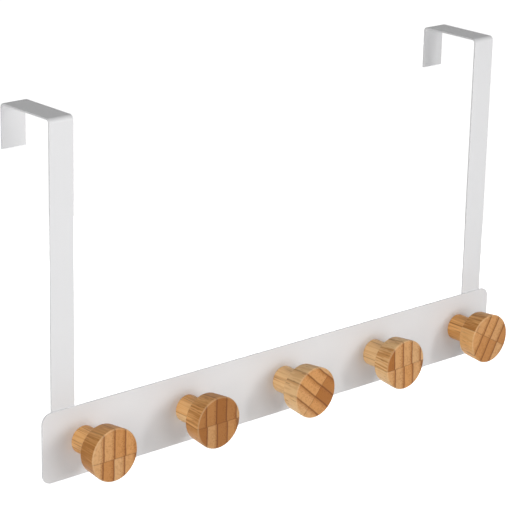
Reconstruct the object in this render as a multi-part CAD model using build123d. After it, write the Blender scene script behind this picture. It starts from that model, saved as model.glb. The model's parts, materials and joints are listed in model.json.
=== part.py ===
"""Over door hook: two bent steel straps carry a flat rail with a row of turned wooden knobs.

Millimetres. +Z is up, +X runs along the rail to the viewer's right and the front faces -Y.
The origin lies on the top edge of the door, midway between the straps and midway through the door.
"""
import os

from build123d import *

# Door
door_gap = 48.0  # clear depth between a strap's front leg and its back drop

# Sheet steel
strap_thickness = 1.2
rail_thickness = 1.2
sheet_edge_round = 0.3  # soft edge left by the coating
edge_round_limit = 0.4  # largest share of a sheet's thickness that the round may take

# Rail
rail_length = 400.0
rail_height = 47.5
rail_corner_radius = 7.0

# Straps
strap_width = 18.0
strap_inset = 8.0  # from the end of the rail to the outer edge of a strap
strap_rise = 187.5  # from the top edge of the rail to the top of a strap
strap_drop = 29.5  # height of the back drop, from the top of the strap
strap_bend_radius = 1.8  # inside each bend
strap_end_inset = 7.5  # from the bottom edge of the rail up to the strap's hidden end

# Spot welds that hold the straps to the rail, seen as dimples from behind
weld_diameter = 5.0
weld_depth = 0.2
weld_inset = 9.0  # from the rail's top edge, and from the strap's end, to a weld's centre

# Knobs
knob_count = 5
neck_diameter = 18.4
neck_length = 18.6
neck_fillet = 0.8  # where the neck runs into the back of the head
head_back_diameter = 32.6
head_front_diameter = 35.5
head_length = 14.4
head_back_round = 0.8
head_front_round = 1.0

# Screws that hold the knobs, driven from behind the rail
screw_diameter = 4.0
screw_length = 20.0  # under the head
screw_tip_length = 3.5
screw_head_diameter = 8.5
screw_dome_share = 0.65  # of the head's height, above its straight edge
recess_width = 0.9  # each arm of the cross recess
recess_depth = 1.4
recess_wall = 0.45  # metal left in the shank outside the recess

# Clearances
screw_door_clearance = 0.3  # screw heads stay this far off the door
screw_strap_clearance = 1.25  # from an end screw's head to the edge of the strap beside it
rail_hole_clearance = 0.4  # on the diameter
pilot_clearance = 0.1  # on the diameter
pilot_end_clearance = 1.5  # past the screw's tip

# Depths along Y: the door takes up the gap, the straps lie on it and the rail lies on the straps
door_front_y = -door_gap / 2
rail_back_y = door_front_y - strap_thickness
rail_front_y = rail_back_y - rail_thickness
drop_outer_y = door_gap / 2 + strap_thickness

# Heights along Z
strap_top_z = strap_thickness
rail_top_z = strap_top_z - strap_rise
rail_bottom_z = rail_top_z - rail_height
knob_z = (rail_top_z + rail_bottom_z) / 2
strap_end_z = rail_bottom_z + strap_end_inset
drop_end_z = strap_top_z - strap_drop

# Places along X
strap_x = rail_length / 2 - strap_inset - strap_width / 2
end_knob_x = strap_x - strap_width / 2 - screw_strap_clearance - screw_head_diameter / 2
knob_pitch = 2 * end_knob_x / (knob_count - 1)
knob_places = [(index - (knob_count - 1) / 2) * knob_pitch for index in range(knob_count)]

# Sizes that follow from the fits
screw_head_height = strap_thickness - screw_door_clearance
rail_hole_diameter = screw_diameter + rail_hole_clearance
pilot_diameter = screw_diameter + pilot_clearance
pilot_depth = screw_length - rail_thickness + pilot_end_clearance
knob_length = neck_length + head_length


def rounded_corner(face, corner, radius):
    """Round the corner of a flat face that lies nearest to the given point."""
    nearest = face.vertices().sort_by_distance(corner)[0]
    return fillet(nearest, radius)


def soft_edge(thickness):
    """Edge round of a sheet, limited by its thickness."""
    return min(sheet_edge_round, edge_round_limit * thickness)


def make_rail():
    """Flat plate with rounded corners and a clearance hole for each screw."""
    blank = RectangleRounded(rail_length, rail_height, rail_corner_radius)
    holes = [Pos(x, 0) * Circle(rail_hole_diameter / 2) for x in knob_places]
    plate = Pos(0, rail_back_y, knob_z) * extrude(Plane.XZ * (blank - holes), rail_thickness)
    faces = plate.faces().sort_by(Axis.Y)
    rims = faces[0].outer_wire().edges() + faces[-1].outer_wire().edges()
    return fillet(rims, soft_edge(rail_thickness))


def strap_line(offset, radius):
    """Bent line of a strap, at the given distance inside its outer face."""
    front_y, back_y = rail_back_y + offset, drop_outer_y - offset
    top_z = strap_top_z - offset
    points = [(front_y, strap_end_z), (front_y, top_z), (back_y, top_z), (back_y, drop_end_z)]
    return FilletPolyline(*points, radius=radius)


def make_strap():
    """Strip bent over the door, with weld dimples on the end that lies behind the rail."""
    outer = strap_line(0, strap_bend_radius + strap_thickness)
    inner = strap_line(strap_thickness, strap_bend_radius)
    section = make_face([outer, inner, Line(outer @ 0, inner @ 0), Line(outer @ 1, inner @ 1)])
    strip = extrude(Plane.YZ * section, strap_width / 2, both=True)
    sides = strip.faces().sort_by(Axis.X)
    strip = fillet(sides[0].edges() + sides[-1].edges(), soft_edge(strap_thickness))
    dimple_radius = (weld_diameter**2 / 4 + weld_depth**2) / (2 * weld_depth)
    dimple = Sphere(dimple_radius)
    dimple_y = door_front_y - weld_depth + dimple_radius
    weld_heights = [rail_top_z - weld_inset, strap_end_z + weld_inset]
    return strip - [Pos(0, dimple_y, z) * dimple for z in weld_heights]


def make_knob():
    """Knob turned about Y, with its back face at Y = 0 and a blind pilot hole for the screw."""
    neck_radius, pilot_radius = neck_diameter / 2, pilot_diameter / 2
    root = (neck_radius, -neck_length)
    back_edge = (head_back_diameter / 2, -neck_length)
    front_edge = (head_front_diameter / 2, -knob_length)
    outline = [
        (pilot_radius, 0),
        (neck_radius, 0),
        root,
        back_edge,
        front_edge,
        (0, -knob_length),
        (0, -pilot_depth),
        (pilot_radius, -pilot_depth),
    ]
    half = make_face(Polyline(*outline, close=True))
    half = rounded_corner(half, root, neck_fillet)
    half = rounded_corner(half, back_edge, head_back_round)
    half = rounded_corner(half, front_edge, head_front_round)
    return revolve(half, Axis.Y)


def make_screw():
    """Low domed wood screw along -Y, with the underside of its head at Y = 0."""
    head_radius, shank_radius = screw_head_diameter / 2, screw_diameter / 2
    dome_height = screw_dome_share * screw_head_height
    dome_radius = (head_radius**2 + dome_height**2) / (2 * dome_height)
    crown = (0, screw_head_height)
    rim = (head_radius, screw_head_height - dome_height)
    outline = [
        RadiusArc(crown, rim, dome_radius),
        Polyline(
            rim,
            (head_radius, 0),
            (shank_radius, 0),
            (shank_radius, screw_tip_length - screw_length),
            (0, -screw_length),
            crown,
        ),
    ]
    arm = Box(screw_diameter - 2 * recess_wall, 2 * recess_depth, recess_width)
    cross = arm + Rot(0, 90, 0) * arm
    return revolve(make_face(outline), Axis.Y) - Pos(0, screw_head_height, 0) * cross


strap = make_strap()
knob = make_knob()
screw = make_screw()

nodes = {
    "hook_rail": make_rail(),
    "left_strap": Pos(-strap_x, 0, 0) * strap,
    "right_strap": Pos(strap_x, 0, 0) * strap,
    "knob_screws": Compound([Pos(x, rail_back_y, knob_z) * screw for x in knob_places]),
}
for number, x in enumerate(knob_places, start=1):
    nodes[f"knob_{number}"] = Pos(x, rail_front_y, knob_z) * knob

os.makedirs("parts", exist_ok=True)
for name, shape in nodes.items():
    export_step(shape, f"parts/{name}.step")
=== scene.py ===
"""Over door hook: coated steel, turned bamboo knobs and their screws, on a plain white stage.

Metres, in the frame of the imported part: +Z is up, +X runs along the rail to the viewer's right and
the front faces -Y.
"""
import json
import math

import bmesh
import bpy
from bpy.props import (
    FloatProperty,
    FloatVectorProperty,
    IntProperty,
    IntVectorProperty,
    PointerProperty,
)
from bpy.types import Operator, Panel, PropertyGroup
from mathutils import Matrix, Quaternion, Vector


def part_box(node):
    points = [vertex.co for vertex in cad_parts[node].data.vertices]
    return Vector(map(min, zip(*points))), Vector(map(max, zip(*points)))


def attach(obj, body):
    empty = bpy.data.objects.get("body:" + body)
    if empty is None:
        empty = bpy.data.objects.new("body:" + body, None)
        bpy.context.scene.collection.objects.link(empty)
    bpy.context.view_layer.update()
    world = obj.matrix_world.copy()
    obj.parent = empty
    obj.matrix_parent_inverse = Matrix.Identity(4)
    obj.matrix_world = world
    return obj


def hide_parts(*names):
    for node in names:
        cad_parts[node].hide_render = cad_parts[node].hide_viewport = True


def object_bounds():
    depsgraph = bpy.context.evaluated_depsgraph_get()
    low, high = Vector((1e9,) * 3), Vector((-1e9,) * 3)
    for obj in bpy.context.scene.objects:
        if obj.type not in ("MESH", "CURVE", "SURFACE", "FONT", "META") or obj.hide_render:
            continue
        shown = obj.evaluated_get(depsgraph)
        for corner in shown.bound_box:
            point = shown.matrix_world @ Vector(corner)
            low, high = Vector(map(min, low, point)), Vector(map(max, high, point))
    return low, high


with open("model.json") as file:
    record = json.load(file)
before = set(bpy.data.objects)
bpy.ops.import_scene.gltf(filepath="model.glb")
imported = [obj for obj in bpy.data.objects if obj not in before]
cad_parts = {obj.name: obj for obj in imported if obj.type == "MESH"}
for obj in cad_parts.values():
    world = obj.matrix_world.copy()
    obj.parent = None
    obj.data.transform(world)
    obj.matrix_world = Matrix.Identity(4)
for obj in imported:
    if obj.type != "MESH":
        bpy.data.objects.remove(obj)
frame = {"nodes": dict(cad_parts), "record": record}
cad_low, cad_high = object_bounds()

bl_info = {
    "name": "Over Door Hook",
    "version": (1, 0, 0),
    "blender": (4, 5, 0),
    "location": "3D View > Sidebar > Door Hook",
    "description": "Dresses a packed over door hook in coated steel and bamboo, on a plain stage",
    "category": "Object",
}

MM = 0.001
BODY = "root"
STEEL_NODES = ("hook_rail", "left_strap", "right_strap")
SCREW_NODE = "knob_screws"
KNOB_NODES = tuple(
    sorted(node for node in frame["nodes"] if node.startswith("knob_") and node != SCREW_NODE)
)
NECK = next(mount["dims"] for mount in frame["record"]["mounts"] if mount["name"] == "knob_1_neck")
# Paleness along the rounds of a knob: partly sanded wear, partly a painted highlight
WEAR_AND_HIGHLIGHT = "edge_wear_and_highlight"
SHARP_ANGLE = math.radians(40)
NEARLY_ZERO = 1e-6

# Steps round the cross recess of a screw, and the power that narrows the crest of its thread
ARM_END_STEPS, ARM_SIDE_STEPS = 3, 5
THREAD_SHARPNESS = 5

# Most of a noise lies between these
NOISE_LOW, NOISE_HIGH = 0.3, 0.7

# Parts of the normal where the surface of a knob counts as its side or its end
SIDE_FACE, END_FACE = 0.1, 0.9
# Parts of the normal where a strip is cut square or along its own face, and the lines left there
SQUARE_CUT, FACE_CUT, FACE_CUT_LINES = 0.3, 0.9, 0.1
# What the lines between the strips lose on the side of a knob, and on its neck as well
SIDE_LINE_LOSS, NECK_LINE_LOSS = 0.4, 0.3
# Middle tone of the fibres, and the tones that are darkest and palest
FIBRE_TONE, TONE_LOW, TONE_HIGH = 0.25, 0.1, 0.9
# Shares of hairs, streaks and lines in the relief of the wood
HAIR_RELIEF, STREAK_RELIEF, LINE_RELIEF = 0.5, 0.5, 0.6


def srgb(red, green, blue):
    """Linear colour of a screen colour given in steps of 0 to 255."""
    steps = [value / 255 for value in (red, green, blue)]
    return tuple(s / 12.92 if s <= 0.04045 else ((s + 0.055) / 1.055) ** 2.4 for s in steps)


def millimetres(name, description, default):
    """Length property, with its default in millimetres."""
    return FloatProperty(
        name=name, description=description, default=default * MM, unit="LENGTH", precision=5
    )


def position(name, description, default):
    """Place property, with its default in millimetres."""
    metres = [value * MM for value in default]
    return FloatVectorProperty(
        name=name, description=description, default=metres, subtype="XYZ", unit="LENGTH"
    )


def degrees(name, description, default):
    """Angle property, with its default in degrees."""
    angle = math.radians(default)
    return FloatProperty(name=name, description=description, default=angle, unit="ROTATION")


def share(name, description, default):
    """Property from 0 to 1."""
    return FloatProperty(
        name=name, description=description, default=default, min=0, max=1, subtype="FACTOR"
    )


def number(name, description, default):
    """Property for a plain number, 0 or more."""
    return FloatProperty(name=name, description=description, default=default, min=0)


def count(name, description, default, least):
    """Property for a whole number."""
    return IntProperty(name=name, description=description, default=default, min=least)


def tint(name, description, default):
    """Colour property."""
    return FloatVectorProperty(
        name=name, description=description, default=default, min=0, max=1, subtype="COLOR"
    )


def each_knob(name, description, default, scale=1, **settings):
    """Property with one number for each knob, whose default is multiplied by the scale."""
    values = [value * scale for value in default]
    return FloatVectorProperty(
        name=name, description=description, size=len(values), default=values, **settings
    )


def knob_seeds(name, description, default):
    """Property with one seed for each knob."""
    return IntVectorProperty(
        name=name, description=description, size=len(default), default=default
    )


class SteelCoat(PropertyGroup):
    """White powder coat of the rail and straps."""

    colour: tint("Colour", "Colour of the coat", srgb(236, 236, 237))
    shade: tint("Shade", "Colour of the faint clouds in the coat", srgb(232, 232, 233))
    roughness: share("Roughness", "Mean roughness of the satin surface", 0.45)
    roughness_play: share("Roughness Play", "How far the roughness strays from its mean", 0.12)
    cloud_size: millimetres("Cloud Size", "Width of one faint cloud", 60)
    peel_size: millimetres("Peel Size", "Width of one swell of the orange peel", 1.6)
    peel_height: millimetres("Peel Height", "Height of the swells", 0.012)


class KnobShape(PropertyGroup):
    """Turned form of one knob."""

    neck_diameter: millimetres("Neck Diameter", "Diameter of the neck", 2 * NECK["r_mm"])
    neck_length: millimetres(
        "Neck Length", "From the rail to the back of the head", NECK["length_mm"]
    )
    neck_fillet: millimetres("Neck Fillet", "Round where the neck runs into the head", 0.8)
    foot_round: millimetres("Foot Round", "Broken edge of the neck at the rail", 0.3)
    head_back_diameter: millimetres("Head Back", "Diameter of the head at its back", 32.6)
    head_front_diameter: millimetres("Head Front", "Diameter of the head at its front", 35.5)
    head_back_round: millimetres("Back Round", "Round of the head's back edge", 0.8)
    head_front_round: millimetres("Front Round", "Round of the head's front edge", 1.0)
    pilot_diameter: millimetres("Pilot Diameter", "Hole for the screw", 4.1)
    pilot_depth: millimetres("Pilot Depth", "Depth of the hole for the screw", 20.3)
    segments: count("Segments", "Steps round the axis", 160, least=24)
    arc_steps: count("Arc Steps", "Steps along each round", 8, least=2)


class Bamboo(PropertyGroup):
    """Laminated bamboo of the knobs, whose strips run along the knob's axis."""

    pale: tint("Pale", "Palest strips", srgb(255, 210, 151))
    middle: tint("Middle", "Strips of middle tone", srgb(250, 189, 118))
    dark: tint("Dark", "Darkest strips", srgb(200, 134, 65))
    bundle: tint("Bundle", "Dark fibre bundles", srgb(146, 82, 36))
    glue: tint("Glue", "Lines between the strips", srgb(108, 48, 12))
    # Pale rounds of the knob: partly sanded wear, partly a painted highlight
    worn_and_highlit: tint("Worn", "Sanded edge of the head", srgb(240, 208, 166))
    end_tint: tint(
        "End Tint", "Light that is left where the fibres end at the surface", srgb(217, 206, 201)
    )
    strip_width: millimetres("Strip Width", "Width of one strip", 8.4)
    strip_reach: millimetres(
        "Strip Reach", "From the axis to where the outermost strips begin at the latest", 15.5
    )
    neck_end: millimetres("Neck End", "From the rail to where the tone of the neck ends", 18)
    head_start: millimetres("Head Start", "From the rail to where the head has its own tone", 19)
    row_steps: each_knob(
        "Row Steps",
        "How far the lower row lies to the left of the upper row in each knob",
        (0.8, -0.8, 0, -0.9, 0.4),
        scale=MM,
        unit="LENGTH",
    )
    turns: each_knob(
        "Turns",
        "How far the strips of each knob lean to the left of upright, seen from the front",
        (0, 0, 49, 2.5, -29),
        scale=math.radians(1),
        unit="ROTATION",
    )
    strip_shifts: each_knob(
        "Strip Shifts",
        "Place of a strip's edge in each knob, from its axis",
        (-0.2, -2.3, -2.1, -2.3, 0.6),
        scale=MM,
        unit="LENGTH",
    )
    joint_heights: each_knob(
        "Joint Heights",
        "Height of the joint between the two rows in each knob, from its axis",
        (-2.5, -0.3, -1.3, -0.6, 0.4),
        scale=MM,
        unit="LENGTH",
    )
    seeds: knob_seeds(
        "Seeds", "Picks the tones of each knob's strips", (786256, 828380, 160699, 792997, 381222)
    )
    fibre_seeds: knob_seeds("Fibre Seeds", "Picks the fibres of each knob", (63, 79, 67, 42, 12))
    fibre_depths: each_knob(
        "Fibre Depths",
        "How strongly the fibres show along the side of each knob's upper row",
        (0.95, 1, 0, 0.9, 0.85),
        min=0,
        max=1,
    )
    lower_fibre_depths: each_knob(
        "Lower Fibre Depths",
        "How strongly the fibres show along the side of each knob's lower row",
        (0.85, 0.3, 0.05, 0, 0.25),
        min=0,
        max=1,
    )
    fibre_contrasts: each_knob(
        "Fibre Contrasts",
        "How far the fibres along the side of each knob stand out from each other",
        (0.3, 0.3, 0.45, 0.5, 0.45),
        min=0,
        max=1,
    )
    # Paler sides and necks of each knob: partly the knob's own tone, partly painted light
    side_tones_and_light: each_knob(
        "Side Tones",
        "How much paler the side of each knob's head is than its end",
        (-0.1, 0.08, 0.32, 0.36, 0.05),
    )
    neck_tones_and_light: each_knob(
        "Neck Tones",
        "How much paler the neck of each knob is than its end",
        (0.05, 0.24, 0.55, 0.4, -0.05),
    )
    end_shades: each_knob(
        "End Shades", "How light the end of each knob is", (1, 0.85, 1, 0.98, 0.97), min=0, max=1
    )
    roughness: share("Roughness", "Mean roughness of the oiled wood", 0.46)
    roughness_play: share("Roughness Play", "How far the roughness strays from its mean", 0.12)
    gloss: share("Gloss", "Strength of the wood's reflections", 0.2)


class BambooGrain(PropertyGroup):
    """Fine marks in the bamboo."""

    strip_sway: millimetres("Strip Sway", "How far the edge of a strip strays", 0.9)
    joint_sway: millimetres("Joint Sway", "How far the joint between the rows strays", 0.7)
    sway_density: number("Sway Density", "Sways in one millimetre across the strips", 0.09)
    sway_stretch: share("Sway Stretch", "Sways along the strips, as a share of those across", 0.25)
    strip_line_core: millimetres("Strip Line Core", "Half width of a strip line at its core", 0.1)
    strip_line_rim: millimetres("Strip Line Rim", "Half width of a strip line at its rim", 0.85)
    strip_line_depth: share("Strip Line Depth", "How strongly the lines between strips show", 0.62)
    row_line_core: millimetres("Row Line Core", "Half width of the row line at its core", 0.05)
    row_line_rim: millimetres("Row Line Rim", "Half width of the row line at its rim", 0.5)
    row_line_depth: share("Row Line Depth", "How strongly the line between the rows shows", 0.4)
    band_start: share("Band Start", "Where the dark band of a strip begins, in its width", 0.6)
    band_depth: share("Band Depth", "How strongly the dark band shows", 0.75)
    fibre_density: number("Fibre Density", "Fibres in one millimetre round the side", 1.1)
    fibre_stretch: share("Fibre Stretch", "Marks along a fibre, as a share of those across", 0.03)
    fibre_radius: millimetres("Fibre Radius", "From the axis to where the fibres are counted", 13)
    fibre_low: share("Fibre Low", "Noise below which there is no fibre", 0.38)
    fibre_high: share("Fibre High", "Noise above which a fibre is full", 0.64)
    inner_reach: millimetres("Inner Reach", "From the axis to where the inner strips end", 8)
    outer_start: millimetres("Outer Start", "From the axis to where the outer strips are full", 14)
    inner_fibres: share("Inner Fibres", "Fibres of the inner strips, as a share of the outer", 0.4)
    streak_density: number("Streak Density", "Streaks in one millimetre", 0.6)
    streak_low: share("Streak Low", "Noise below which there is no streak", 0.5)
    streak_high: share("Streak High", "Noise above which a streak is full", 0.6)
    streak_depth: share("Streak Depth", "How strongly the streaks show", 0.25)
    bundle_density: number("Bundle Density", "Dark bundles in one millimetre", 0.95)
    bundle_growth_start: share("Bundle Growth", "Where in a strip the bundles begin to grow", 0.2)
    thin_bundle: share("Thin Bundle", "Size of the thinnest bundles, in their spacing", 0.16)
    thick_bundle: share("Thick Bundle", "Size of the thickest bundles, in their spacing", 0.38)
    bundle_core: number("Bundle Core", "Dark core of a bundle, as a share of its size", 0.5)
    bundle_rim: number("Bundle Rim", "Faint rim of a bundle, as a share of its size", 1.2)
    bundle_depth: share("Bundle Depth", "How strongly the bundles show", 0.5)
    hair_density: number("Hair Density", "Fine hairs in one millimetre", 5)
    # How strongly the pale rounds show: partly sanded wear, partly a painted highlight
    wear_and_highlight_depth: share("Wear Depth", "How strongly the sanded edge of the head shows", 0.25)
    relief_height: millimetres("Relief Height", "Height of the grain's relief", 0.03)


class ScrewShape(PropertyGroup):
    """Form of one wood screw."""

    diameter: millimetres("Diameter", "Diameter over the thread", 4.0)
    core_diameter: millimetres("Core Diameter", "Diameter at the root of the thread", 2.8)
    thread_pitch: millimetres("Thread Pitch", "Advance of the thread in one turn", 1.8)
    length: millimetres("Length", "Length under the head", 20.0)
    plain_length: millimetres("Plain Length", "Length under the head that has no thread", 1.4)
    tip_length: millimetres("Tip Length", "Length of the pointed tip", 3.5)
    head_diameter: millimetres("Head Diameter", "Diameter of the head", 8.5)
    head_height: millimetres("Head Height", "Height of the head", 0.9)
    dome_height: millimetres("Dome Height", "Height of the head above its straight edge", 0.585)
    recess_length: millimetres("Recess Length", "Each arm of the cross recess, end to end", 3.1)
    recess_width: millimetres("Recess Width", "Width of each arm of the cross recess", 0.9)
    recess_depth: millimetres("Recess Depth", "Cross recess below the top of the head", 1.4)
    dome_steps: count("Dome Steps", "Rings from the recess to the rim", 5, least=1)
    thread_steps: count("Thread Steps", "Rings in one turn of the thread", 16, least=6)


class ScrewSteel(PropertyGroup):
    """Zinc plate of the screws."""

    colour: tint("Colour", "Colour of the zinc plate", srgb(202, 203, 206))
    shade: tint("Shade", "Colour of the duller patches", srgb(176, 177, 180))
    roughness: share("Roughness", "Mean roughness of the plate", 0.34)
    roughness_play: share("Roughness Play", "How far the roughness strays from its mean", 0.12)
    patch_density: number("Patch Density", "Duller patches in one millimetre", 0.9)
    grain_density: number("Grain Density", "Grains in one millimetre", 6)
    grain_height: millimetres("Grain Height", "Height of the grains", 0.004)


class Stage(PropertyGroup):
    """Floor and light. At level 1 a light shows a white surface as white."""

    floor_drop: millimetres("Floor Drop", "From the lowest edge of the rail down to the floor", 300)
    floor_size: millimetres("Floor Size", "Side of the floor", 40000)
    floor_colour: tint("Floor Colour", "Colour of the floor", srgb(240, 240, 240))
    floor_lift: number("Floor Lift", "Light that the floor adds so that it is seen as white", 0.9)
    fill_level: number("Fill Level", "Even light from all sides", 0.19)
    key_level: number("Key Level", "Tall soft light in front, past the rail's right end", 0.235)
    key_place: position("Key Place", "Middle of the key light", (330, -790, 110))
    key_width: millimetres("Key Width", "Width of the key light", 150)
    key_height: millimetres("Key Height", "Height of the key light", 420)
    front_level: number("Front Level", "Broad light in front", 0.245)
    front_place: position("Front Place", "Middle of the front light", (20, -820, -40))
    front_width: millimetres("Front Width", "Width of the front light", 500)
    front_height: millimetres("Front Height", "Height of the front light", 300)
    side_level: number("Side Level", "Wide light on the left", 0.335)
    side_place: position("Side Place", "Middle of the side light", (-1100, -680, 200))
    side_width: millimetres("Side Width", "Width and height of the side light", 700)
    back_level: number("Back Level", "Wide light behind the right end", 0.3)
    back_place: position("Back Place", "Middle of the back light", (900, 1100, -330))
    back_width: millimetres("Back Width", "Width and height of the back light", 500)


class CameraPlace(PropertyGroup):
    """Camera, as it orbits its aim."""

    azimuth: degrees("Azimuth", "Side that the camera stands on, right of the front", -41.472)
    elevation: degrees("Elevation", "Height of the camera above the horizon", 18.244)
    roll: degrees("Roll", "Turn about the line of sight", 1.273)
    lens: FloatProperty(
        name="Lens", description="Focal length", default=156.624, min=1, unit="CAMERA"
    )
    sensor: FloatProperty(
        name="Sensor", description="Width of the sensor", default=36, min=1, unit="CAMERA"
    )
    distance: millimetres("Distance", "From the camera to its aim", 1491.53)
    aim: position("Aim", "Point that the camera looks at", (-8.40, -5.66, -126.28))


class DoorHookSettings(PropertyGroup):
    """All settings of the door hook."""

    coat: PointerProperty(type=SteelCoat)
    knobs: PointerProperty(type=KnobShape)
    bamboo: PointerProperty(type=Bamboo)
    grain: PointerProperty(type=BambooGrain)
    screws: PointerProperty(type=ScrewShape)
    zinc: PointerProperty(type=ScrewSteel)
    stage: PointerProperty(type=Stage)
    camera: PointerProperty(type=CameraPlace)


class Bench:
    """Makes the nodes of one material, with short calls."""

    def __init__(self, tree):
        self.tree = tree
        self.tree.nodes.clear()

    def feed(self, socket, value):
        """Link a socket to a socket, or set its value."""
        if isinstance(value, bpy.types.NodeSocket):
            self.tree.links.new(value, socket)
        elif socket.type == "RGBA":
            socket.default_value = (*value[:3], 1)
        else:
            socket.default_value = value

    def add(self, kind, *values, **settings):
        """New node, with its first sockets fed in order."""
        node = self.tree.nodes.new(f"ShaderNode{kind}")
        for name, value in settings.items():
            setattr(node, name, value)
        for socket, value in zip(node.inputs, values):
            self.feed(socket, value)
        return node

    def math(self, operation, *values):
        """Arithmetic on numbers."""
        return self.add("Math", *values, operation=operation).outputs[0]

    def point(self, x=0, y=0, z=0):
        """Vector from three numbers."""
        return self.add("CombineXYZ", x, y, z).outputs[0]

    def step(self, value, low, high, start=0, end=1):
        """Smooth step of a value between two limits."""
        node = self.add("MapRange", value, low, high, start, end, interpolation_type="SMOOTHSTEP")
        return node.outputs[0]

    def noise(self, place, density, detail=2):
        """Noise from 0 to 1, with so many swells in one unit of length."""
        return self.add("TexNoise", place, 0, density, detail).outputs[0]

    def blend(self, factor, first, second, mode="MIX"):
        """Mix of two colours."""
        node = self.add("Mix", data_type="RGBA", blend_type=mode)
        sockets = [socket for socket in node.inputs if socket.type == "RGBA"]
        self.feed(node.inputs[0], factor)
        self.feed(sockets[0], first)
        self.feed(sockets[1], second)
        return next(socket for socket in node.outputs if socket.type == "RGBA")


def new_surface(name):
    """Material with one principled shader, and the bench that makes its nodes."""
    material = bpy.data.materials.new(name)
    material.use_nodes = True
    bench = Bench(material.node_tree)
    shader = bench.add("BsdfPrincipled")
    output = bench.add("OutputMaterial")
    bench.feed(output.inputs["Surface"], shader.outputs[0])
    return material, bench, shader


def add_bump(bench, shader, height, distance):
    """Bump on a shader from a height of 0 to 1."""
    bump = bench.add("Bump")
    bench.feed(bump.inputs["Strength"], 1)
    bench.feed(bump.inputs["Distance"], distance)
    bench.feed(bump.inputs["Height"], height)
    bench.feed(shader.inputs["Normal"], bump.outputs[0])


def vary_roughness(bench, shader, noise, finish):
    """Let the roughness of a finish stray from its mean with a noise."""
    play = finish.roughness_play / 2
    low, high = finish.roughness - play, finish.roughness + play
    bench.feed(shader.inputs["Roughness"], bench.step(noise, NOISE_LOW, NOISE_HIGH, low, high))


def coat_material(coat):
    """Satin white powder coat with a fine orange peel."""
    material, bench, shader = new_surface("white_coat")
    place = bench.add("TexCoord").outputs["Object"]
    clouds = bench.noise(place, 1 / coat.cloud_size, detail=3)
    peel = bench.noise(place, 1 / coat.peel_size, detail=3)
    bench.feed(shader.inputs["Base Color"], bench.blend(clouds, coat.colour, coat.shade))
    vary_roughness(bench, shader, peel, coat)
    add_bump(bench, shader, peel, coat.peel_height)
    return material


def turned_about_axis(bench, vector, angle):
    """Vector turned about the knob's axis."""
    node = bench.add("VectorRotate", rotation_type="Y_AXIS")
    bench.feed(node.inputs["Vector"], vector)
    bench.feed(node.inputs["Angle"], angle)
    return node.outputs[0]


def knob_surface(bench, turn):
    """Place in millimetres and normal on a knob, both across, along and up its strips."""
    coords = bench.add("TexCoord").outputs
    turned = turned_about_axis(bench, coords["Object"], turn)
    in_mm = bench.add("VectorMath", turned, (1 / MM,) * 3, operation="MULTIPLY").outputs[0]
    normal = turned_about_axis(bench, coords["Normal"], turn)
    return bench.add("SeparateXYZ", in_mm).outputs, bench.add("SeparateXYZ", normal).outputs


def lay_strips(bench, bamboo, grain, index, place):
    """Place across the strips in strip widths, lower row or not, height over the joint and tone."""
    across, along, up = place
    reach = bamboo.strip_reach / MM
    within_reach = bench.add("Clamp", across, -reach, reach).outputs[0]
    slow_along = bench.math("MULTIPLY", along, grain.sway_stretch)
    sway = bench.noise(bench.point(across, slow_along, up), grain.sway_density, detail=1)

    joint_height = (bamboo.joint_heights[index] + grain.joint_sway / 2) / MM
    swayed_up = bench.math("MULTIPLY_ADD", sway, grain.joint_sway / MM, up)
    over_joint = bench.math("SUBTRACT", swayed_up, joint_height)
    lower = bench.math("LESS_THAN", over_joint, 0)

    first_edge = (bamboo.strip_shifts[index] + grain.strip_sway / 2) / MM
    swayed_across = bench.math("MULTIPLY_ADD", sway, grain.strip_sway / MM, within_reach)
    from_edge = bench.math("SUBTRACT", swayed_across, first_edge)
    shifted = bench.math("MULTIPLY_ADD", lower, bamboo.row_steps[index] / MM, from_edge)
    strip = bench.math("DIVIDE", shifted, bamboo.strip_width / MM)
    cell = bench.point(bench.math("FLOOR", strip), lower, bamboo.seeds[index])
    tone = bench.add("TexWhiteNoise", cell).outputs["Value"]
    return strip, lower, over_joint, tone


def fibre_places(bench, grain, seed, place):
    """Places drawn out along the fibres: through the wood, and round the side of the knob."""
    across, along, up = place
    slow_along = bench.math("MULTIPLY_ADD", along, grain.fibre_stretch, seed)
    outward = bench.add("VectorMath", bench.point(across, 0, up), operation="NORMALIZE").outputs[0]
    radius = (grain.fibre_radius / MM,) * 3
    ahead = bench.point(0, slow_along, 0)
    side = bench.add("VectorMath", outward, radius, ahead, operation="MULTIPLY_ADD").outputs[0]
    return bench.point(across, slow_along, up), side


def side_fibres(bench, bamboo, grain, index, side_place, across, lower):
    """Fibres along the side of a knob, from 0 to 1, and how strongly they show."""
    noise = bench.noise(side_place, grain.fibre_density, detail=2)
    fibres = bench.step(noise, grain.fibre_low, grain.fibre_high)
    upper_depth, lower_depth = bamboo.fibre_depths[index], bamboo.lower_fibre_depths[index]
    row_depth = bench.math("MULTIPLY_ADD", lower, lower_depth - upper_depth, upper_depth)
    inner, outer = grain.inner_reach / MM, grain.outer_start / MM
    spread = bench.step(bench.math("ABSOLUTE", across), inner, outer, grain.inner_fibres, 1)
    return fibres, bench.math("MULTIPLY", row_depth, spread)


def glue_lines(bench, bamboo, grain, strip, over_joint, square):
    """Lines between the strips and between the two rows, from 0 to 1."""
    from_line = bench.math("PINGPONG", strip, 0.5)
    from_line = bench.math("MULTIPLY", from_line, bamboo.strip_width / MM)
    core, rim = grain.strip_line_core / MM, grain.strip_line_rim / MM
    strip_line = bench.step(from_line, core, rim, grain.strip_line_depth, 0)
    strip_line = bench.math("MULTIPLY", strip_line, square)
    core, rim = grain.row_line_core / MM, grain.row_line_rim / MM
    from_joint = bench.math("ABSOLUTE", over_joint)
    row_line = bench.step(from_joint, core, rim, grain.row_line_depth, 0)
    return bench.math("MAXIMUM", strip_line, row_line)


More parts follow.
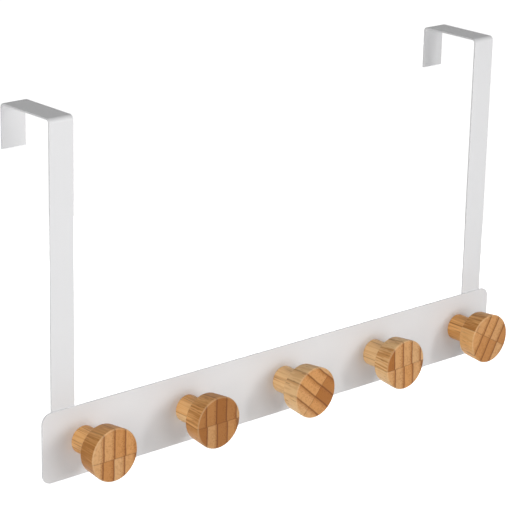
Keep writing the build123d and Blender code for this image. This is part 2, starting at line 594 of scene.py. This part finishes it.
def wood_shades(bench, bamboo, tone):
    """Colour of the bare strips by their tone."""
    shades = bench.add("ValToRGB", bench.step(tone, TONE_LOW, TONE_HIGH))
    ramp = shades.color_ramp
    ramp.elements[0].color = (*bamboo.dark, 1)
    ramp.elements[1].color = (*bamboo.pale, 1)
    ramp.elements.new(0.5).color = (*bamboo.middle, 1)
    return shades.outputs[0]


def bamboo_material(bamboo, grain, index):
    """Laminated bamboo for one knob: strips in two rows, with fibres along the axis."""
    material, bench, shader = new_surface(f"bamboo_{index + 1}")
    place, (sideways, forward, _) = knob_surface(bench, bamboo.turns[index])
    across, along, _ = place
    strip, lower, over_joint, tone = lay_strips(bench, bamboo, grain, index, place)
    in_strip = bench.math("FRACT", strip)
    wood_place, side_place = fibre_places(bench, grain, bamboo.fibre_seeds[index], place)

    # Parts of the knob
    neck = bench.step(along, -bamboo.head_start / MM, -bamboo.neck_end / MM)
    end_grain = bench.math("ABSOLUTE", forward)
    side = bench.step(end_grain, SIDE_FACE, END_FACE, 1, 0)
    slant = bench.math("ABSOLUTE", sideways)
    square = bench.step(slant, SQUARE_CUT, FACE_CUT, 1, FACE_CUT_LINES)
    kept = bench.math("MULTIPLY_ADD", neck, -NECK_LINE_LOSS, 1)
    kept = bench.math("MULTIPLY_ADD", side, -SIDE_LINE_LOSS, kept)
    square = bench.math("MULTIPLY", square, kept)

    # Tones of the strips, with the fibres on the side, and sides and necks made paler: partly each
    # knob's own tone, partly painted light
    fibres, depth = side_fibres(bench, bamboo, grain, index, side_place, across, lower)
    depth = bench.math("MULTIPLY", depth, side)
    contrast = bamboo.fibre_contrasts[index]
    fibre_tone = bench.math("MULTIPLY_ADD", fibres, -contrast, FIBRE_TONE + contrast / 2)
    fibre_tone = bench.math("SUBTRACT", fibre_tone, tone)
    tone = bench.math("MULTIPLY_ADD", fibre_tone, depth, tone)
    # The sides and necks are made paler here: partly their own tone, partly painted light
    head_lift_and_light, neck_lift_and_light = bamboo.side_tones_and_light[index], bamboo.neck_tones_and_light[index]
    side_lift_and_light = bench.math("MULTIPLY_ADD", neck, neck_lift_and_light - head_lift_and_light, head_lift_and_light)
    tone = bench.math("MULTIPLY_ADD", side_lift_and_light, side, tone)
    wood = wood_shades(bench, bamboo, tone)

    # Marks on the strips
    streaks = bench.noise(wood_place, grain.streak_density, detail=4)
    streak = bench.step(streaks, grain.streak_low, grain.streak_high, 0, grain.streak_depth)
    wood = bench.blend(streak, wood, bamboo.dark)
    band = bench.step(in_strip, grain.band_start, 1, 0, grain.band_depth)
    wood = bench.blend(bench.math("MULTIPLY", band, square), wood, bamboo.dark)
    fibre = bench.math("MULTIPLY", bench.math("MULTIPLY", fibres, depth), contrast / 2)
    wood = bench.blend(fibre, wood, bamboo.bundle)
    from_bundle = bench.add("TexVoronoi", wood_place, 0, grain.bundle_density).outputs["Distance"]
    thickness = bench.step(
        in_strip, grain.bundle_growth_start, 1, grain.thin_bundle, grain.thick_bundle
    )
    from_bundle = bench.math("DIVIDE", from_bundle, thickness)
    bundle = bench.step(from_bundle, grain.bundle_core, grain.bundle_rim, grain.bundle_depth, 0)
    wood = bench.blend(bundle, wood, bamboo.bundle)
    lines = glue_lines(bench, bamboo, grain, strip, over_joint, square)
    wood = bench.blend(lines, wood, bamboo.glue)

    # Ends of the fibres, and the pale rounds of the knob: partly sanded wear, partly a painted
    # highlight
    end_tint = [part * bamboo.end_shades[index] for part in bamboo.end_tint]
    wood = bench.blend(end_grain, wood, end_tint, mode="MULTIPLY")
    wear_and_highlight = bench.add("Attribute", attribute_name=WEAR_AND_HIGHLIGHT).outputs["Fac"]
    wood = bench.blend(bench.math("MULTIPLY", wear_and_highlight, grain.wear_and_highlight_depth), wood, bamboo.worn_and_highlit)
    bench.feed(shader.inputs["Base Color"], wood)

    bench.feed(shader.inputs["Specular IOR Level"], bamboo.gloss)
    hairs = bench.noise(wood_place, grain.hair_density, detail=2)
    vary_roughness(bench, shader, hairs, bamboo)
    relief = bench.math("MULTIPLY", streaks, STREAK_RELIEF)
    relief = bench.math("MULTIPLY_ADD", hairs, HAIR_RELIEF, relief)
    relief = bench.math("SUBTRACT", relief, bench.math("MULTIPLY", lines, LINE_RELIEF))
    add_bump(bench, shader, relief, grain.relief_height)
    return material


def zinc_material(zinc):
    """Zinc plate with faint duller patches."""
    material, bench, shader = new_surface("zinc_plate")
    place = bench.add("TexCoord").outputs["Object"]
    patches = bench.noise(place, zinc.patch_density / MM, detail=3)
    grain = bench.noise(place, zinc.grain_density / MM, detail=2)
    bench.feed(shader.inputs["Base Color"], bench.blend(patches, zinc.colour, zinc.shade))
    bench.feed(shader.inputs["Metallic"], 1)
    vary_roughness(bench, shader, grain, zinc)
    add_bump(bench, shader, grain, zinc.grain_height)
    return material


def dress(piece, material):
    """Give a piece one material all over."""
    piece.data.materials.clear()
    piece.data.materials.append(material)


def round_corner(before, corner, after, radius, steps):
    """Arc that rounds a corner of an outline, as (point, paleness), palest at its middle: partly
    sanded wear, partly a painted highlight.
    """
    to_before = (before - corner).normalized()
    to_after = (after - corner).normalized()
    half = to_before.angle(to_after) / 2
    centre = corner + (to_before + to_after).normalized() * radius / math.sin(half)
    start = corner + to_before * radius / math.tan(half) - centre
    end = corner + to_after * radius / math.tan(half) - centre
    arc = []
    for step in range(steps + 1):
        part = step / steps
        arc.append((centre + start.slerp(end, part) * radius, math.sin(math.pi * part)))
    return arc


def knob_outline(knobs, length):
    """Half outline of a knob as (point, paleness of sanded wear and painted highlight), with points
    of (radius, y) and the rail at y = 0.
    """
    neck, pilot = knobs.neck_diameter / 2, knobs.pilot_diameter / 2
    corners = [
        (0, -knobs.pilot_depth, 0),
        (pilot, -knobs.pilot_depth, 0),
        (pilot, 0, 0),
        (neck, 0, knobs.foot_round),
        (neck, -knobs.neck_length, knobs.neck_fillet),
        (knobs.head_back_diameter / 2, -knobs.neck_length, knobs.head_back_round),
        (knobs.head_front_diameter / 2, -length, knobs.head_front_round),
        (0, -length, 0),
    ]
    places = [Vector(corner[:2]) for corner in corners]
    outline = []
    for index, (place, (_, _, radius)) in enumerate(zip(places, corners)):
        if radius:
            before, after = places[index - 1], places[index + 1]
            outline += round_corner(before, place, after, radius, knobs.arc_steps)
        else:
            outline.append((place, 0))
    return outline


def skin_rings(builder, rings):
    """Faces between each ring of corners and the next. A ring may be one corner on the axis."""
    for ring, following in zip(rings, rings[1:]):
        for step in range(max(len(ring), len(following))):
            around = [(ring, step), (ring, step + 1), (following, step + 1), (following, step)]
            builder.faces.new(dict.fromkeys(loop[place % len(loop)] for loop, place in around))


def finished_mesh(name, builder):
    """Mesh of what a builder holds, smooth but for its sharp edges."""
    bmesh.ops.recalc_face_normals(builder, faces=builder.faces)
    mesh = bpy.data.meshes.new(name)
    builder.to_mesh(mesh)
    builder.free()
    mesh.shade_smooth()
    mesh.set_sharp_from_angle(angle=SHARP_ANGLE)
    return mesh


def turned_mesh(name, outline, segments):
    """Closed mesh of an outline turned about Y, whose two ends lie on the axis."""
    builder = bmesh.new()
    wear_and_highlight_layer = builder.verts.layers.float.new(WEAR_AND_HIGHLIGHT)
    rings = []
    # Each round is paler towards its middle: partly sanded wear, partly a painted highlight
    for (radius, y), wear_and_highlight in outline:
        count = segments if radius else 1
        angles = [2 * math.pi * step / count for step in range(count)]
        ring = [builder.verts.new((radius * math.cos(a), y, radius * math.sin(a))) for a in angles]
        for vertex in ring:
            vertex[wear_and_highlight_layer] = wear_and_highlight
        rings.append(ring)
    skin_rings(builder, rings)
    return finished_mesh(name, builder)


def recess_angles(screws):
    """Directions round a screw, with one at each corner of its cross recess."""
    corner, diagonal = math.atan2(screws.recess_width, screws.recess_length), math.pi / 4
    arm_end = [corner * step / ARM_END_STEPS for step in range(ARM_END_STEPS)]
    side_angle = diagonal - corner
    arm_side = [corner + side_angle * step / ARM_SIDE_STEPS for step in range(ARM_SIDE_STEPS)]
    eighth = arm_end + arm_side
    quarter = eighth + [diagonal] + [2 * diagonal - angle for angle in reversed(eighth[1:])]
    return [2 * diagonal * turn + angle for turn in range(4) for angle in quarter]


def recess_reach(screws, angle):
    """From the axis of a screw to the wall of its cross recess, in one direction."""
    along, across = screws.recess_length / 2, screws.recess_width / 2
    flat, upright = (max(abs(part), NEARLY_ZERO) for part in (math.cos(angle), math.sin(angle)))
    return max(min(along / flat, across / upright), min(across / flat, along / upright))


def thread_radius(screws, angle, depth):
    """Radius of a screw in one direction, at a depth under its head."""
    crest, core = screws.diameter / 2, screws.core_diameter / 2
    turn = depth / screws.thread_pitch - angle / (2 * math.pi)
    ridge = (0.5 + 0.5 * math.cos(2 * math.pi * turn)) ** THREAD_SHARPNESS
    cut = min(1, (depth - screws.plain_length) / screws.thread_pitch)
    taper = min(1, (screws.length - depth) / screws.tip_length)
    return taper * (crest - cut * (crest - core) * (1 - ridge))


def screw_rings(screws):
    """Rings of one screw from recess to tip, as (radius, y), with the head's underside at y = 0."""
    angles = recess_angles(screws)
    head, shank = screws.head_diameter / 2, screws.diameter / 2
    ball = (head**2 + screws.dome_height**2) / (2 * screws.dome_height)
    floor = screws.head_height - screws.recess_depth
    walls = [recess_reach(screws, angle) for angle in angles]
    rings = [[(0, floor)], [(wall, floor) for wall in walls]]
    ball_centre = screws.head_height - ball
    for step in range(screws.dome_steps + 1):
        radii = [wall + (head - wall) * step / screws.dome_steps for wall in walls]
        rings.append([(radius, ball_centre + math.sqrt(ball**2 - radius**2)) for radius in radii])
    rings += [[(head, 0) for _ in angles], [(shank, 0) for _ in angles]]
    steps = round((screws.length - screws.plain_length) / screws.thread_pitch * screws.thread_steps)
    for step in range(steps):
        depth = screws.plain_length + (screws.length - screws.plain_length) * step / steps
        rings.append([(thread_radius(screws, angle, depth), -depth) for angle in angles])
    return angles, rings + [[(0, -screws.length)]]


def screws_mesh(name, screws, places):
    """Closed mesh of a screw along -Y at each place."""
    builder = bmesh.new()
    angles, rings = screw_rings(screws)
    for place in places:
        corners = []
        for ring in rings:
            spots = [
                place + Vector((radius * math.cos(angle), y, radius * math.sin(angle)))
                for angle, (radius, y) in zip(angles, ring)
            ]
            corners.append([builder.verts.new(spot) for spot in spots])
        skin_rings(builder, corners)
    return finished_mesh(name, builder)


def new_piece(name, mesh):
    """Object for a mesh, in the scene."""
    piece = bpy.data.objects.new(name, mesh)
    bpy.context.scene.collection.objects.link(piece)
    return piece


def towards(azimuth, elevation):
    """Direction from the object, with azimuth 0 at the front and positive to the right."""
    flat = math.cos(elevation)
    return Vector((math.sin(azimuth) * flat, -math.cos(azimuth) * flat, math.sin(elevation)))


def seen_rays(bench):
    """1 for rays that show a surface to the viewer, straight or by a reflection, else 0."""
    path = bench.add("LightPath").outputs
    mirrored = bench.math("MAXIMUM", path["Is Glossy Ray"], path["Is Transmission Ray"])
    return bench.math("MAXIMUM", path["Is Camera Ray"], mirrored)


def make_floor(stage):
    """Wide pale floor, seen as white where no shadow lies on it."""
    builder = bmesh.new()
    bmesh.ops.create_grid(builder, x_segments=1, y_segments=1, size=stage.floor_size / 2)
    mesh = bpy.data.meshes.new("floor")
    builder.to_mesh(mesh)
    builder.free()
    floor = new_piece("floor", mesh)
    floor.location.z = cad_low.z - stage.floor_drop

    material = bpy.data.materials.new("floor")
    material.use_nodes = True
    bench = Bench(material.node_tree)
    matt = bench.add("BsdfDiffuse", stage.floor_colour)
    strength = bench.math("MULTIPLY", seen_rays(bench), stage.floor_lift)
    glow = bench.add("Emission", (1, 1, 1), strength)
    both = bench.add("AddShader", matt.outputs[0], glow.outputs[0])
    bench.add("OutputMaterial", both.outputs[0])
    dress(floor, material)


def make_world(stage):
    """Surroundings that are seen as white and light the object evenly."""
    world = bpy.data.worlds.new("studio")
    bpy.context.scene.world = world
    world.use_nodes = True
    bench = Bench(world.node_tree)
    fill = bench.add("Background", (1, 1, 1), stage.fill_level)
    white = bench.add("Background", (1, 1, 1), 1)
    chosen = bench.add("MixShader", seen_rays(bench), fill.outputs[0], white.outputs[0])
    bench.add("OutputWorld", chosen.outputs[0])


def make_soft_light(name, strength, centre, width, height):
    """Soft light that faces the object, at a level where 1 shows white as white there."""
    away = Vector(centre) - (cad_low + cad_high) / 2
    lamp = bpy.data.lights.new(name, "AREA")
    lamp.shape = "ELLIPSE"
    lamp.size, lamp.size_y = width, height
    lamp.energy = strength * math.pi**2 * (away.length_squared + width * height / 4)
    light = bpy.data.objects.new(name, lamp)
    light.location = centre
    light.rotation_mode = "QUATERNION"
    light.rotation_quaternion = away.to_track_quat("Z", "Y")
    light.visible_camera = False
    bpy.context.scene.collection.objects.link(light)


def make_camera(view):
    """Camera at the viewing angle, turned a little about its line of sight."""
    data = bpy.data.cameras.new("camera")
    data.lens = view.lens
    data.sensor_width = view.sensor
    camera = bpy.data.objects.new("camera", data)
    back = towards(view.azimuth, view.elevation)
    camera.location = Vector(view.aim) + back * view.distance
    level_sight = (-back).to_track_quat("-Z", "Y")
    camera.rotation_mode = "QUATERNION"
    camera.rotation_quaternion = level_sight @ Quaternion((0, 0, 1), view.roll)
    bpy.context.scene.collection.objects.link(camera)
    bpy.context.scene.camera = camera


class DOORHOOK_OT_coat_steel(Operator):
    """Give the rail and both straps their white powder coat"""

    bl_idname = "door_hook.coat_steel"
    bl_label = "Coat Steel"

    def execute(self, context):
        coat = coat_material(context.scene.door_hook.coat)
        for node in STEEL_NODES:
            dress(frame["nodes"][node], coat)
        return {"FINISHED"}


class DOORHOOK_OT_turn_knobs(Operator):
    """Turn the bamboo knobs, each with its own strips"""

    bl_idname = "door_hook.turn_knobs"
    bl_label = "Turn Knobs"

    def execute(self, context):
        settings = context.scene.door_hook
        for index, node in enumerate(KNOB_NODES):
            low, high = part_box(node)
            outline = knob_outline(settings.knobs, high.y - low.y)
            knob = new_piece(f"turned_{node}", turned_mesh(node, outline, settings.knobs.segments))
            knob.location = ((low.x + high.x) / 2, high.y, (low.z + high.z) / 2)
            dress(knob, bamboo_material(settings.bamboo, settings.grain, index))
            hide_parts(node)
            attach(knob, BODY)
        return {"FINISHED"}


class DOORHOOK_OT_cut_screws(Operator):
    """Cut the zinc plated screws that hold the knobs"""

    bl_idname = "door_hook.cut_screws"
    bl_label = "Cut Screws"

    def execute(self, context):
        settings = context.scene.door_hook
        rail_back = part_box("hook_rail")[1].y
        middles = [sum(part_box(node), Vector()) / 2 for node in KNOB_NODES]
        places = [Vector((middle.x, rail_back, middle.z)) for middle in middles]
        screws = new_piece("threaded_screws", screws_mesh(SCREW_NODE, settings.screws, places))
        dress(screws, zinc_material(settings.zinc))
        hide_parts(SCREW_NODE)
        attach(screws, BODY)
        return {"FINISHED"}


class DOORHOOK_OT_set_stage(Operator):
    """Set up the floor, the light and the camera"""

    bl_idname = "door_hook.set_stage"
    bl_label = "Set Stage"

    def execute(self, context):
        settings = context.scene.door_hook
        stage = settings.stage
        context.scene.view_settings.view_transform = "Standard"
        make_floor(stage)
        make_world(stage)
        lights = {
            "key": (stage.key_level, stage.key_place, stage.key_width, stage.key_height),
            "front": (stage.front_level, stage.front_place, stage.front_width, stage.front_height),
            "side": (stage.side_level, stage.side_place, stage.side_width, stage.side_width),
            "back": (stage.back_level, stage.back_place, stage.back_width, stage.back_width),
        }
        for name, light in lights.items():
            make_soft_light(name, *light)
        make_camera(settings.camera)
        return {"FINISHED"}


OPERATORS = (
    DOORHOOK_OT_coat_steel,
    DOORHOOK_OT_turn_knobs,
    DOORHOOK_OT_cut_screws,
    DOORHOOK_OT_set_stage,
)


class DOORHOOK_PT_build(Panel):
    """Lists the steps that dress the door hook"""

    bl_idname = "DOORHOOK_PT_build"
    bl_label = "Door Hook"
    bl_space_type = "VIEW_3D"
    bl_region_type = "UI"
    bl_category = "Door Hook"

    def draw(self, context):
        for operator in OPERATORS:
            self.layout.operator(operator.bl_idname)
        settings = context.scene.door_hook
        for name in DoorHookSettings.__annotations__:
            group = getattr(settings, name)
            box = self.layout.box()
            box.label(text=name.capitalize())
            for prop in type(group).__annotations__:
                box.prop(group, prop)


CLASSES = (
    SteelCoat,
    KnobShape,
    Bamboo,
    BambooGrain,
    ScrewShape,
    ScrewSteel,
    Stage,
    CameraPlace,
    DoorHookSettings,
    *OPERATORS,
    DOORHOOK_PT_build,
)


def register():
    """Make the settings, steps and panel known to Blender."""
    for each in CLASSES:
        bpy.utils.register_class(each)
    bpy.types.Scene.door_hook = PointerProperty(type=DoorHookSettings)


def unregister():
    """Take the settings, steps and panel out of Blender again."""
    del bpy.types.Scene.door_hook
    for each in reversed(CLASSES):
        bpy.utils.unregister_class(each)


def main():
    """Dress the part step by step."""
    register()
    bpy.ops.door_hook.coat_steel()
    bpy.ops.door_hook.turn_knobs()
    bpy.ops.door_hook.cut_screws()
    bpy.ops.door_hook.set_stage()


if __name__ == "__main__":
    main()
